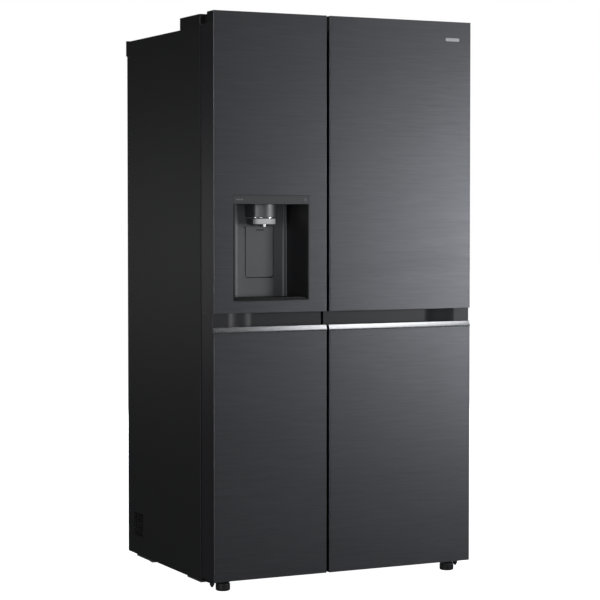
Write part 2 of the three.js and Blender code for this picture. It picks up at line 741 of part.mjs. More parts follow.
function dispenserHousing() {
  const { u0, u1, z0, z1, ceiling, depth } = DISPENSER;
  const mouth = 4;
  const flare = 33;
  const bay = prism(
    [
      [u0 + mouth, -1], [u1 - mouth, -1],
      [u1 - mouth - flare, depth], [u0 + mouth + flare, depth],
    ],
    DISPENSER_FLOOR, ceiling,
  );
  return cut(
    join(
      block(u0 + GAP, u1 - GAP, 0, HOUSING_BACK, z0 + GAP, z1 - GAP),
      block(PADDLE.u0 - 8, PADDLE.u1 + 8, 90, PADDLE.room + 5, PADDLE.z0 - 11, PADDLE.z1 + 7),
    ),
    bay,
    block(u0 - 1, u1 + 1, -1, 6, ceiling, z1 + 1),
    block(PADDLE.u0 - 2, PADDLE.u1 + 2, 80, PADDLE.room, PADDLE.z0 - 3, PADDLE.z1 + 2),
    paddlePins(PADDLE_PIN.r + 0.5, PADDLE_PIN.reach + 0.8),
  );
}
part(freezerDoor, "dispenser_housing", dispenserHousing(), greyPlastic);
part(
  freezerDoor, "dispenser_panel",
  block(
    DISPENSER.u0 + GAP, DISPENSER.u1 - GAP, 0, 5.7,
    DISPENSER.ceiling + GAP, DISPENSER.z1 - GAP,
  ),
  greyPlastic,
);

// Ice chute hood and water spout, hung from the roof of the bay.
const SPOUT = { u: 196, v: 80, r: 50, ring: 44, high: 70, mouth: 26, top: DISPENSER.ceiling - GAP };
function spout() {
  const low = SPOUT.top - SPOUT.high;
  const profile = [
    [0, 7], [SPOUT.ring - 3, 7], [SPOUT.ring, 10], [SPOUT.ring, 24],
    [SPOUT.r - 2, 27], [SPOUT.r, 30], [SPOUT.r, SPOUT.high], [0, SPOUT.high],
  ];
  return join(
    cut(
      turned(profile, SPOUT.u, SPOUT.v, low, "z", 36),
      block(0, FREEZER_DOOR, DISPENSER.depth - GAP, 200, 1000, 1300),
      rod(SPOUT.u, SPOUT.v - 10, low, low + 20, SPOUT.mouth),
    ),
    rod(SPOUT.u, SPOUT.v - 10, low, low + 22, 5.5, 16),
  );
}
part(freezerDoor, "dispenser_spout", spout(), brightMetal);

const paddlePlate = block(
  PADDLE.u0, PADDLE.u1, PADDLE.v, PADDLE.v + PADDLE.thick, PADDLE.z0, PADDLE.z1,
);
const paddle = join(paddlePlate, paddlePins(PADDLE_PIN.r, PADDLE_PIN.reach));
part(freezerDoor, "dispenser_paddle", paddle, greyPlastic);

// Drip tray: a grid that lies in the bottom of the bay.
let dripTray = prism(
  [[78, 8], [314, 8], [292, 82], [100, 82]], DISPENSER_FLOOR + GAP, DISPENSER_FLOOR + 5,
);
for (let i = 0; i < 8; i++) {
  const u = 104 + i * 23.5;
  dripTray = cut(dripTray, block(u, u + 16, 18, 72, DISPENSER_FLOOR - 1, DISPENSER_FLOOR + 6));
}
part(freezerDoor, "drip_tray", dripTray, blackPlastic);

// ---------------------------------------------------------------- door storage

const onDoor = DOOR_THICK + GAP;
const bin = (u0, u1, back, z0, z1) => tray(u0, u1, onDoor, back, z0, z1, BIN_WALL, 22);
part(freezerDoor, "ice_bank", bin(94, 300, 240, 1262, 1560), clearPlastic);
part(freezerDoor, "freezer_bin", bin(94, 318, BIN_BACK, 600, 720), clearPlastic);
part(fridgeDoor, "fridge_bin_upper", bin(84, 450, BIN_BACK, 1330, 1450), clearPlastic);
part(fridgeDoor, "fridge_bin_lower", bin(84, 450, BIN_BACK, 700, 830), clearPlastic);

// ---------------------------------------------------------------- hinges

// Upper hinge: a joggled plate screwed to the case, with the pin that drops into the door.
const HINGE_ARM = { z0: 1758, z1: 1762 };
function upperHinge() {
  const arm = [
    [15, 58], [17, 55], [23, 55], [46, 66], [54, 100], [54, 116], [27, 116], [27, 90],
  ];
  return join(
    block(10, 132, 112, 196, CASE_TOP + GAP, CASE_TOP + 4),
    block(27, 54, 110, 116, CASE_TOP + GAP, HINGE_ARM.z1),
    prism(arm, HINGE_ARM.z0, HINGE_ARM.z1),
    rod(PIVOT_U, PIVOT_V, CAP_BOTTOM - 14, HINGE_ARM.z0 + 1, PIN_R),
  );
}

// Hinge cover: a hollow moulding over the plate, with a nose that reaches over the door.
function hingeCover() {
  const wall = 2.5;
  const top = HEIGHT - 2;
  const nose = [
    [11, 60], [12, 54], [18, 51], [30, 51], [50, 60], [62, 100], [62, 112], [22, 112], [22, 84],
  ];
  const noseInside = [
    [12.8, 60], [14, 55.4], [18, 53.2], [29, 53.2], [48, 62], [59, 100], [59, 112.5],
    [24.5, 112.5], [24.5, 86],
  ];
  const outer = join(
    prism(roundedRectangle(0.5, 150, 107, 268, 5), CASE_TOP + GAP, top),
    prism(nose, CAP_STEP + 1.4, top),
  );
  return cut(
    outer,
    prism(roundedRectangle(3, 150 - wall, 107 + wall, 268 - wall, 3), CASE_TOP, top - wall),
    prism(noseInside, CAP_STEP, top - wall),
    block(24.5, 59, 100, 112.5, CASE_TOP, HINGE_ARM.z1 + 1),
  );
}

// Lower hinge: bracket on the case front, pin up into the door, adjusting bolt below it.
const LOWER = { z0: 26, z1: 31 };
const FOOT = { u: 54, v: 56 };
function lowerHinge() {
  const plate = [
    [8, 62], [12, 52], [22, 46], [66, 42], [78, 52], [80, 103.7], [8, 103.7],
  ];
  return cut(
    join(
      prism(plate, LOWER.z0, LOWER.z1),
      block(8, 80, 101.2, 103.7, LOWER.z0, 60),
      rod(PIVOT_U, PIVOT_V, LOWER.z0 + 1, DOOR_BOTTOM + 22, PIN_R),
      turned([[0, 0], [3, 0], [7, 7], [8, 15], [0, 15]], PIVOT_U, PIVOT_V, LOWER.z0 - 14, "z", 16),
    ),
    rod(FOOT.u, FOOT.v, LOWER.z0 - 1, LOWER.z1 + 1, 5.5),
  );
}
const footProfile = [
  [0, 0], [19, 0], [22, 2], [23, 5], [23, 20], [21, 24], [5, 24], [5, 34], [0, 34],
];

for (const side of ["left", "right"]) {
  const corner = new THREE.Group();
  corner.position.set(side === "left" ? leftX : rightX, frontY, 0);
  corner.scale.x = side === "left" ? 1 : -1;
  part(corner, `hinge_top_${side}`, upperHinge(), zincSteel);
  part(corner, `hinge_cover_${side}`, hingeCover(), blackPlastic);
  part(corner, `hinge_bottom_${side}`, lowerHinge(), zincSteel);
  part(corner, `foot_${side}`, turned(footProfile, FOOT.u, FOOT.v, 0, "z", 24), rubber);
  refrigerator.add(corner);
}

function roller(x) {
  const half = ROLLER.wide / 2;
  const stub = half + ROLLER.ear + 0.5;
  const profile = [
    [0, -stub], [ROLLER.axle, -stub], [ROLLER.axle, -half], [ROLLER.r - 1, -half],
    [ROLLER.r, -half + 1], [ROLLER.r, half - 1], [ROLLER.r - 1, half], [ROLLER.axle, half],
    [ROLLER.axle, stub], [0, stub],
  ];
  return turned(profile, x, ROLLER.y, ROLLER.r, "x", 20);
}
part(refrigerator, "roller_left", roller(rollerXs[0]), whitePlastic);
part(refrigerator, "roller_right", roller(rollerXs[1]), whitePlastic);

export default refrigerator;
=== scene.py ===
"""A side-by-side refrigerator with an ice and water dispenser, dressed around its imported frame."""

import json
import math

import bpy
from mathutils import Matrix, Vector


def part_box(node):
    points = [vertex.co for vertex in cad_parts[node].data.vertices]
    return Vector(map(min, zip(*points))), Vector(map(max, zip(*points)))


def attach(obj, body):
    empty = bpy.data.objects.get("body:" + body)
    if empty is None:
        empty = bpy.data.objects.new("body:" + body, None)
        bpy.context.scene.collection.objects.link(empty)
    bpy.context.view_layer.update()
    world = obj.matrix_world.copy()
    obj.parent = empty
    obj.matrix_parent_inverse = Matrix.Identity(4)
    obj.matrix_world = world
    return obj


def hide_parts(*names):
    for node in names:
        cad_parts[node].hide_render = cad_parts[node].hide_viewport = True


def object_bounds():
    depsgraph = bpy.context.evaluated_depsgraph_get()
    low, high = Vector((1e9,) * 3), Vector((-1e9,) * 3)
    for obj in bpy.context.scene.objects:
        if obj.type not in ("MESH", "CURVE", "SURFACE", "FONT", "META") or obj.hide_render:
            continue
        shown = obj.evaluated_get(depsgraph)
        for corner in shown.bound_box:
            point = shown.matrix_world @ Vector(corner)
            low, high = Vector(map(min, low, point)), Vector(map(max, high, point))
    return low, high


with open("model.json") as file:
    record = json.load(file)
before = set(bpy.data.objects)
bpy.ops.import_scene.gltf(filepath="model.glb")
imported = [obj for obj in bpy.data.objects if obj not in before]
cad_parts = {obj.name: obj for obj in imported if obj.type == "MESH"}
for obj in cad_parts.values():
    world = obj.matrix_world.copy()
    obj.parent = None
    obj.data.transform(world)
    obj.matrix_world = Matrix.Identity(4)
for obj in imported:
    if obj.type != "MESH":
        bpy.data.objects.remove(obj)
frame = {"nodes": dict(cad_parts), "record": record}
cad_bounds = [list(corner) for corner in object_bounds()]
nodes = frame["nodes"]
left, front, _ = cad_bounds[0]
right, rear, _ = cad_bounds[1]
MM = 0.001

# ------------------------------------------------------------------ studio
# A white floor that runs out of sight. The door fronts mirror one soft light from the right, a
# small high one lights the handle strips, two behind light the back and the right side, and
# the room is dim but for what would bounce off the floor.
bpy.ops.mesh.primitive_plane_add(size=60)
floor = bpy.context.object
floor.name = "studio_floor"
floor_paint = bpy.data.materials.new("studio_floor")
floor_paint.use_nodes = True
floor_shader = floor_paint.node_tree.nodes["Principled BSDF"]
floor_shader.inputs["Base Color"].default_value = (0.85, 0.85, 0.85, 1)
floor_shader.inputs["Roughness"].default_value = 0.9
floor_shader.inputs["Emission Color"].default_value = (1, 1, 1, 1)
floor_shader.inputs["Emission Strength"].default_value = 1.0
floor.data.materials.append(floor_paint)
floor.visible_glossy = False
floor.visible_diffuse = False

world = bpy.data.worlds.new("studio")
bpy.context.scene.world = world
world.use_nodes = True
sky = world.node_tree.nodes
backdrop = sky["Background"]
backdrop.inputs["Color"].default_value = (1, 1, 1, 1)
room = sky.new("ShaderNodeBackground")
room.inputs["Color"].default_value = (0.94, 0.96, 1, 1)
below = sky.new("ShaderNodeTexCoord")
downward = sky.new("ShaderNodeSeparateXYZ")
bounce = sky.new("ShaderNodeMapRange")
bounce.inputs["From Min"].default_value = -0.28
bounce.inputs["From Max"].default_value = -0.6
bounce.inputs["To Min"].default_value = 0.035
bounce.inputs["To Max"].default_value = 0.38
world.node_tree.links.new(below.outputs["Generated"], downward.inputs["Vector"])
world.node_tree.links.new(downward.outputs["Z"], bounce.inputs["Value"])
world.node_tree.links.new(bounce.outputs["Result"], room.inputs["Strength"])
ray = sky.new("ShaderNodeLightPath")
choose = sky.new("ShaderNodeMixShader")
world.node_tree.links.new(ray.outputs["Is Camera Ray"], choose.inputs["Fac"])
world.node_tree.links.new(room.outputs["Background"], choose.inputs[1])
world.node_tree.links.new(backdrop.outputs["Background"], choose.inputs[2])
world.node_tree.links.new(choose.outputs["Shader"], sky["World Output"].inputs["Surface"])


def softbox(name, place, target, width, height, power):
    """A rectangular soft light, sized in metres and rated in watts, aimed at a target."""
    bpy.ops.object.light_add(type="AREA", location=place)
    lamp = bpy.context.object
    lamp.name = name
    lamp.data.shape = "RECTANGLE"
    lamp.data.size = width
    lamp.data.size_y = height
    lamp.data.energy = power
    lamp.rotation_euler = (Vector(target) - Vector(place)).to_track_quat("-Z", "Y").to_euler()


softbox("right_light", (3.1, -3.6, 1.0), (0.3, -0.3, 0.9), 1.1, 1.1, 45)
softbox("strip_light", (2.05, -3.14, 3.0), (0, -0.36, 0.81), 0.9, 0.5, 5)
softbox("left_light", (-2.6, 3.4, 1.0), (-0.45, 0, 0.9), 1.2, 0.9, 3)
softbox("edge_light", (-4.2, -2.2, 1.0), (-0.45, -0.3, 0.9), 0.5, 2.6, 46)
softbox("front_light", (-2.2, -5.0, 1.7), (0, -0.3, 0.9), 1.2, 1.2, 16)
softbox("top_light", (0.2, 0.2, 4.2), (0, 0, 0), 2.5, 2.5, 24)
softbox("rear_light", (1.2, 5.0, 1.6), (0, 0.35, 0.9), 2.6, 2.0, 110)
softbox("side_light", (4.8, 2.6, 1.4), (0.4, 0.2, 0.9), 2.0, 2.4, 90)

bpy.ops.object.camera_add(location=(-2.844, -5.812, 1.166))
camera = bpy.context.object
camera.rotation_euler = (math.radians(88.03), 0, math.radians(-26.22))
camera.data.lens = 116.7
camera.data.shift_y = -0.03
bpy.context.scene.camera = camera
bpy.context.scene.view_settings.view_transform = "Standard"

# ------------------------------------------------------------------ outer case
# The case is one sheet of steel folded down both sides and powder coated, which leaves a fine
# orange peel. A short groove pressed into the left side, by the vent, stiffens the sheet.


def finish(name, color, roughness, metallic=0.0, grain=0.04, scale=400.0, bump=0.05,
           stretch=(1, 1, 1), clear=0.0):
    """A surface whose colour, gloss and height all vary a little with one noise."""
    made = bpy.data.materials.new(name)
    made.use_nodes = True
    tree = made.node_tree
    link = tree.links.new
    shader = tree.nodes["Principled BSDF"]
    shader.inputs["Metallic"].default_value = metallic
    shader.inputs["Transmission Weight"].default_value = clear
    place = tree.nodes.new("ShaderNodeTexCoord")
    scaled = tree.nodes.new("ShaderNodeMapping")
    scaled.inputs["Scale"].default_value = stretch
    noise = tree.nodes.new("ShaderNodeTexNoise")
    noise.inputs["Scale"].default_value = scale
    noise.inputs["Detail"].default_value = 4
    tint = tree.nodes.new("ShaderNodeMix")
    tint.data_type = "RGBA"
    tint.inputs["A"].default_value = (*[c * (1 - grain) for c in color], 1)
    tint.inputs["B"].default_value = (*[min(1, c * (1 + grain)) for c in color], 1)
    rough = tree.nodes.new("ShaderNodeMapRange")
    rough.inputs["To Min"].default_value = max(0.02, roughness - 0.04)
    rough.inputs["To Max"].default_value = roughness + 0.04
    height = tree.nodes.new("ShaderNodeBump")
    height.inputs["Strength"].default_value = bump
    height.inputs["Distance"].default_value = 0.0004
    link(place.outputs["Object"], scaled.inputs["Vector"])
    link(scaled.outputs["Vector"], noise.inputs["Vector"])
    link(noise.outputs["Fac"], tint.inputs["Factor"])
    link(noise.outputs["Fac"], rough.inputs["Value"])
    link(noise.outputs["Fac"], height.inputs["Height"])
    link(tint.outputs["Result"], shader.inputs["Base Color"])
    link(rough.outputs["Result"], shader.inputs["Roughness"])
    link(height.outputs["Normal"], shader.inputs["Normal"])
    return made


def only(piece, mode="OBJECT"):
    """Leaves one piece selected and active, with nothing selected inside it."""
    if bpy.context.object and bpy.context.object.mode == "EDIT":
        bpy.ops.object.mode_set(mode="OBJECT")
    bpy.ops.object.select_all(action="DESELECT")
    piece.select_set(True)
    bpy.context.view_layer.objects.active = piece
    if mode == "EDIT":
        bpy.ops.object.mode_set(mode="EDIT")
        bpy.ops.mesh.select_all(action="DESELECT")
        bpy.ops.object.mode_set(mode="OBJECT")


def edit_faces(piece, wanted):
    """Opens a piece in edit mode with the faces selected that pass a test."""
    only(piece, "EDIT")
    for face in piece.data.polygons:
        face.select = bool(wanted(face))
    bpy.ops.object.mode_set(mode="EDIT")


def edit_edges(piece, wanted):
    """Opens a piece in edit mode with the edges selected whose two ends pass a test."""
    only(piece, "EDIT")
    points = piece.data.vertices
    for edge in piece.data.edges:
        edge.select = bool(wanted(*[points[i].co for i in edge.vertices]))
    bpy.ops.object.mode_set(mode="EDIT")
    bpy.ops.mesh.select_mode(type="EDGE")


def done():
    """Leaves edit mode."""
    bpy.ops.mesh.select_mode(type="FACE")
    bpy.ops.object.mode_set(mode="OBJECT")


def apply_modifier(piece, kind, **settings):
    """Adds one modifier with its settings, and makes its result the piece's own mesh."""
    only(piece)
    modifier = piece.modifiers.new(kind.lower(), kind)
    for key, value in settings.items():
        setattr(modifier, key, value)
    bpy.ops.object.modifier_apply(modifier=modifier.name)


def round_edges(piece, width, segments=2, angle=30):
    """Rounds every sharp edge by a width in millimetres, and keeps the flats flat."""
    apply_modifier(
        piece, "BEVEL", width=width * MM, segments=segments, limit_method="ANGLE",
        angle_limit=math.radians(angle), use_clamp_overlap=True,
    )
    only(piece)
    bpy.ops.object.shade_smooth_by_angle(angle=math.radians(max(angle, 40)))
    apply_modifier(piece, "WEIGHTED_NORMAL", keep_sharp=True, weight=100)


def body_of(node):
    """The body that a frame node rides on."""
    bodies = frame["record"]["behaviour"]["bodies"]
    return next(body for body, members in bodies.items() if node in members)


def dress(piece, material, body):
    """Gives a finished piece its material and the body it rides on."""
    piece.data.materials.clear()
    piece.data.materials.append(material)
    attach(piece, body)
    return piece


def merged_copy(node):
    """A copy of a frame node with its loose triangles merged back into whole faces."""
    piece = bpy.data.objects.new(f"{node}_made", nodes[node].data.copy())
    bpy.context.collection.objects.link(piece)
    only(piece)
    bpy.ops.object.mode_set(mode="EDIT")
    bpy.ops.mesh.select_all(action="SELECT")
    bpy.ops.mesh.remove_doubles(threshold=0.00001)
    bpy.ops.mesh.dissolve_limited(angle_limit=math.radians(0.5))
    bpy.ops.object.mode_set(mode="OBJECT")
    return piece


def stand_in(piece, node, material):
    """Puts a shaped copy in the place of its frame node."""
    dress(piece, material, body_of(node))
    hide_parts(node)
    return piece


def softened(node, width, material, segments=2, angle=30):
    """A frame node as it is, with its edges rounded."""
    piece = merged_copy(node)
    round_edges(piece, width, segments, angle)
    return stand_in(piece, node, material)


def close_to(point, place, spread=0.6):
    """Whether a point lies on a line given by two of its three coordinates."""
    return all(c is None or abs(a - c) < spread * MM for a, c in zip(point, place))


def round_corners(piece, lines, width, segments):
    """Rounds the long edges of a piece that lie on the given lines."""
    edit_edges(piece, lambda a, b: any(close_to(a, n) and close_to(b, n) for n in lines))
    bpy.ops.mesh.bevel(offset=width * MM, segments=segments, affect="EDGES")
    done()


case_paint = finish("case_paint", (0.0135, 0.0138, 0.0150), 0.46, scale=900, bump=0.12)
case = merged_copy("outer_case")
case_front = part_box("outer_case")[0].y
round_corners(case, [(left, case_front, None), (right, case_front, None)], 2.2, 4)
groove_y = (front + 558 * MM, front + 564 * MM)
groove_z = (72 * MM, 187 * MM)
for at, normal in (
    ((0, groove_y[0], 0), (0, 1, 0)), ((0, groove_y[1], 0), (0, 1, 0)),
    ((0, 0, groove_z[0]), (0, 0, 1)), ((0, 0, groove_z[1]), (0, 0, 1)),
):
    edit_faces(case, lambda face: face.normal.x < -0.9 and face.center.x < left + 0.2 * MM)
    bpy.ops.mesh.bisect(plane_co=at, plane_no=normal)
    done()
edit_faces(
    case,
    lambda face: face.normal.x < -0.9 and groove_y[0] < face.center.y < groove_y[1]
    and groove_z[0] < face.center.z < groove_z[1],
)
bpy.ops.mesh.inset(thickness=1.2 * MM, depth=-0.8 * MM)
done()
round_edges(case, 0.5)
stand_in(case, "outer_case", case_paint)

# ------------------------------------------------------------------ base and back
# Galvanised sheet closes the bottom and the back, plain and spangled. Long ribs pressed into
# the back keep it flat, and hex-headed screws hold the cover of the machine space.


def slab(name, low, high):
    """A block between two corners, the start of a piece."""
    bpy.ops.object.select_all(action="DESELECT")
    middle = [(a + b) / 2 for a, b in zip(low, high)]
    bpy.ops.mesh.primitive_cube_add(size=1, location=middle)
    piece = bpy.context.object
    piece.name = name
    piece.scale = [b - a for a, b in zip(low, high)]
    bpy.ops.object.transform_apply(location=True, rotation=True, scale=True)
    return piece


AXES = {"x": (0, math.pi / 2, 0), "y": (math.pi / 2, 0, 0), "z": (0, 0, 0)}


def disc(name, middle, radius, thick, axis, sides=24):
    """A short cylinder about one axis, the start of a turned piece."""
    bpy.ops.object.select_all(action="DESELECT")
    bpy.ops.mesh.primitive_cylinder_add(
        vertices=sides, radius=radius, depth=thick, location=middle, rotation=AXES[axis],
    )
    piece = bpy.context.object
    piece.name = name
    bpy.ops.object.transform_apply(location=True, rotation=True, scale=True)
    return piece


def merge(name, pieces):
    """Joins loose copies of one small piece into a single mesh."""
    only(pieces[0])
    for piece in pieces:
        piece.select_set(True)
    bpy.ops.object.join()
    pieces[0].name = name
    return pieces[0]


def screws(name, places, axis, side, radius, body):
    """A set of flanged hex screws whose heads stand along one axis."""
    way = Vector({"x": (side, 0, 0), "y": (0, side, 0), "z": (0, 0, side)}[axis])
    heads = []
    for place in places:
        place = Vector(place)
        flange = disc(name, place + way * 0.5 * MM, radius * MM, 1 * MM, axis, 20)
        head = disc(name, place + way * 1.6 * MM, radius * 0.62 * MM, 1.8 * MM, axis, 6)
        edit_faces(head, lambda face, way=way: face.normal.dot(way) > 0.9)
        bpy.ops.mesh.inset(thickness=radius * 0.2 * MM, depth=-0.5 * MM)
        done()
        heads += [flange, head]
    made = merge(name, heads)
    round_edges(made, 0.2, 1)
    return dress(made, bolt_zinc, body)


zinc_sheet = finish(
    "zinc_sheet", (0.34, 0.35, 0.36), 0.42, metallic=0.9, grain=0.12, scale=55, bump=0.03,
)
bolt_zinc = finish("bolt_zinc", (0.5, 0.5, 0.49), 0.35, metallic=1.0, scale=700)
softened("base_plate", 0.5, zinc_sheet)

back = merged_copy("back_panel")
low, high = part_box("back_panel")
rib_z = (0.5, 1.62)
rib_xs = [(x, x + 0.026) for x in (-0.33, -0.17, -0.013, 0.144, 0.304)]


def outer_back(face):
    """Whether a face lies on the outside of the back sheet."""
    return face.normal.y > 0.9 and face.center.y > high.y - 0.2 * MM


for z in rib_z:
    edit_faces(back, outer_back)
    bpy.ops.mesh.bisect(plane_co=(0, 0, z), plane_no=(0, 0, 1))
    done()
for x in [x for pair in rib_xs for x in pair]:
    edit_faces(back, lambda face: outer_back(face) and rib_z[0] < face.center.z < rib_z[1])
    bpy.ops.mesh.bisect(plane_co=(x, 0, 0), plane_no=(1, 0, 0))
    done()
edit_faces(
    back,
    lambda face: outer_back(face) and rib_z[0] < face.center.z < rib_z[1]
    and any(a < face.center.x < b for a, b in rib_xs),
)
bpy.ops.mesh.inset(thickness=6 * MM, depth=3 * MM)
done()
round_edges(back, 0.8, 2, 20)
stand_in(back, "back_panel", zinc_sheet)

softened("machine_cover", 0.3, zinc_sheet)
low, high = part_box("machine_cover")
screws(
    "machine_cover_screws",
    [(x, high.y, z) for x in (-0.43, -0.15, 0.15, 0.43) for z in (low.z + 9 * MM, high.z - 9 * MM)],
    "y", 1, 5.5, "cabinet",
)
hood = slab("louvre_hoods", (-0.330, high.y - 0.2 * MM, 0.0975), (-0.260, high.y + 5 * MM, 0.1035))
edit_edges(hood, lambda a, b: a.z > 0.1 and b.z > 0.1 and a.y > high.y and b.y > high.y)
bpy.ops.mesh.bevel(offset=4.6 * MM, segments=5, affect="EDGES")
done()
apply_modifier(hood, "ARRAY", count=5, use_relative_offset=False, use_constant_offset=True,
               constant_offset_displace=(0.140, 0, 0))
apply_modifier(hood, "ARRAY", count=4, use_relative_offset=False, use_constant_offset=True,
               constant_offset_displace=(0, 0, 0.040))
round_edges(hood, 0.4)
dress(hood, zinc_sheet, "cabinet")

# ------------------------------------------------------------------ rear cover and side vent
# Two black mouldings: the cover over the wiring along the top rear edge, which keeps the case
# off the wall, and the grille that clips into the left side over the condenser.
black_plastic = finish("black_plastic", (0.012, 0.012, 0.013), 0.42, scale=1500, bump=0.1)
softened("rear_top_cover", 1.0, black_plastic)
low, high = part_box("rear_top_cover")
screws(
    "rear_cover_screws", [(x, high.y - 2.7 * MM, 1.727) for x in (-0.42, -0.14, 0.14, 0.42)],
    "y", 1, 5, "cabinet",
)
softened("vent_grille", 0.5, black_plastic)

# ------------------------------------------------------------------ compressor and condenser
# A welded black shell stands on rubber feet. Copper pipes lead from it to the finned coil,
# which a fan on the same foot cools, and a pan beside them catches the defrost water.


def pipe(name, points, radius, material, body):
    """A bent pipe through the given points."""
    curve = bpy.data.curves.new(name, "CURVE")
    curve.dimensions = "3D"
    curve.bevel_depth = radius * MM
    curve.bevel_resolution = 3
    curve.use_fill_caps = True
    run = curve.splines.new("NURBS")
    run.points.add(len(points) - 1)
    for point, at in zip(run.points, points):
        point.co = (*at, 1)
    run.order_u = 3
    run.use_endpoint_u = True
    piece = bpy.data.objects.new(name, curve)
    bpy.context.collection.objects.link(piece)
    only(piece)
    bpy.ops.object.convert(target="MESH")
    piece = bpy.context.object
    piece.name = name
    bpy.ops.object.mode_set(mode="EDIT")
    bpy.ops.mesh.select_all(action="SELECT")
    bpy.ops.mesh.remove_doubles(threshold=0.00001)
    bpy.ops.mesh.normals_make_consistent(inside=False)
    done()
    bpy.ops.object.shade_smooth_by_angle(angle=math.radians(50))
    return dress(piece, material, body)


shell_paint = finish("compressor_paint", (0.011, 0.011, 0.012), 0.3, scale=500, bump=0.15)
copper = finish("copper_pipe", (0.62, 0.25, 0.12), 0.3, metallic=1.0, scale=120, grain=0.15)
coil_metal = finish("coil_metal", (0.42, 0.43, 0.45), 0.4, metallic=0.9, scale=90, grain=0.1)
fan_plastic = finish("fan_plastic", (0.02, 0.02, 0.022), 0.38, scale=900)
softened("compressor", 1.2, shell_paint, 3)
shell_axis = (left + 520 * MM, rear - 119 * MM)
seam = disc("compressor_weld", (*shell_axis, 112 * MM), 86.8 * MM, 3 * MM, "z", 64)
edit_faces(seam, lambda face: abs(face.normal.z) > 0.9)
bpy.ops.mesh.inset(thickness=2 * MM)
bpy.ops.mesh.delete(type="FACE")
done()
apply_modifier(seam, "SOLIDIFY", thickness=1.4 * MM, offset=-1)
round_edges(seam, 0.5)
dress(seam, shell_paint, "cabinet")
stub_top = 165
for name, (stub_x, stub_y), runs in (
    (
        "suction_pipe", (33.5, 200.5),
        [(0, 0, 220), (-60, -15, 225), (-120, -27, 215), (-160, -36, 205), (-170, -45, 205)],
    ),
    (
        "discharge_pipe", (33.5, 203.5),
        [(0, 0, 185), (-60, 0, 195), (-140, -10, 200), (-220, -10, 203), (-276, -10, 203)],
    ),
):
    route = [(stub_x, stub_y, stub_top)] + [(stub_x + x, stub_y + y, z) for x, y, z in runs]
    pipe(name, [Vector(at) * MM for at in route], 3.2, copper, "cabinet")
softened("condenser", 0.3, coil_metal)
softened("condenser_fan", 0.6, fan_plastic)
softened("drain_pan", 0.8, black_plastic)

# ------------------------------------------------------------------ insulation and liners
# Foam fills the case around two thermoformed white liners, whose front rims close it. A grey
# strip covers the heated frame between them, and each ceiling has a lamp lens.
foam = finish("foam", (0.72, 0.62, 0.36), 0.9, scale=220, grain=0.12, bump=0.4)
white_liner = finish("white_liner", (0.78, 0.79, 0.79), 0.32, scale=260, grain=0.015, bump=0.06)
grey_plastic = finish("grey_plastic", (0.11, 0.113, 0.12), 0.42, scale=900)
lens = finish("lamp_lens", (0.9, 0.92, 0.94), 0.25, scale=120, clear=0.35)
lens_shader = lens.node_tree.nodes["Principled BSDF"]
lens_shader.inputs["Emission Color"].default_value = (1, 0.97, 0.9, 1)
lens_shader.inputs["Emission Strength"].default_value = 26.0
nodes["insulation"].data.materials.clear()
nodes["insulation"].data.materials.append(foam)
for room_name in ("freezer", "fridge"):
    softened(f"{room_name}_liner", 0.9, white_liner, 2)
softened("mullion_cover", 0.3, grey_plastic)
CEILING = 1688 * MM
for room_name, x in (("freezer", -0.246), ("fridge", 0.1875)):
    lamp = slab(f"{room_name}_lamp", (x - 0.07, -0.19, CEILING - 7 * MM),
                (x + 0.07, -0.13, CEILING - 0.2 * MM))
    edit_faces(lamp, lambda face: face.normal.z < -0.9)
    bpy.ops.mesh.inset(thickness=6 * MM, depth=3 * MM)
    bpy.ops.mesh.inset(thickness=5 * MM)
    done()
    round_edges(lamp, 1.2, 3)
    dress(lamp, lens, "cabinet")

# ------------------------------------------------------------------ cold duct and ice maker
# Behind a white cover, the evaporator coil and its fan make the cold air, which leaves
# through rows of slots. The ice maker is a grey mould hung from the ceiling.
softened("evaporator", 0.3, coil_metal)
softened("evaporator_fan", 0.5, fan_plastic)
softened("duct_cover", 0.8, white_liner, 2)
softened("ice_maker", 1.0, grey_plastic)
low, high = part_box("duct_cover")
ring_z = 790 * MM
middle_x = (low.x + high.x) / 2
rings = []
for radius in (14, 27, 40, 52):
    bpy.ops.object.select_all(action="DESELECT")
    bpy.ops.mesh.primitive_torus_add(
        major_radius=radius * MM, minor_radius=1.6 * MM, major_segments=48, minor_segments=8,
        location=(middle_x, low.y, ring_z), rotation=(math.pi / 2, 0, 0),
    )
    bpy.ops.object.transform_apply(location=True, rotation=True, scale=True)
    rings.append(bpy.context.object)
for turn in range(3):
    spoke = slab("spoke", (middle_x - 53 * MM, low.y - 1.5 * MM, ring_z - 1.6 * MM),
                 (middle_x + 53 * MM, low.y + 0.5 * MM, ring_z + 1.6 * MM))
    only(spoke, "EDIT")
    bpy.ops.object.mode_set(mode="EDIT")
    bpy.ops.mesh.select_all(action="SELECT")
    bpy.ops.transform.rotate(
        value=turn * math.pi / 3, orient_axis="Y", center_override=(middle_x, low.y, ring_z),
    )
    done()
    rings.append(spoke)
guard = merge("duct_fan_guard", rings)
bpy.ops.object.shade_smooth_by_angle(angle=math.radians(40))
dress(guard, white_liner, "cabinet")

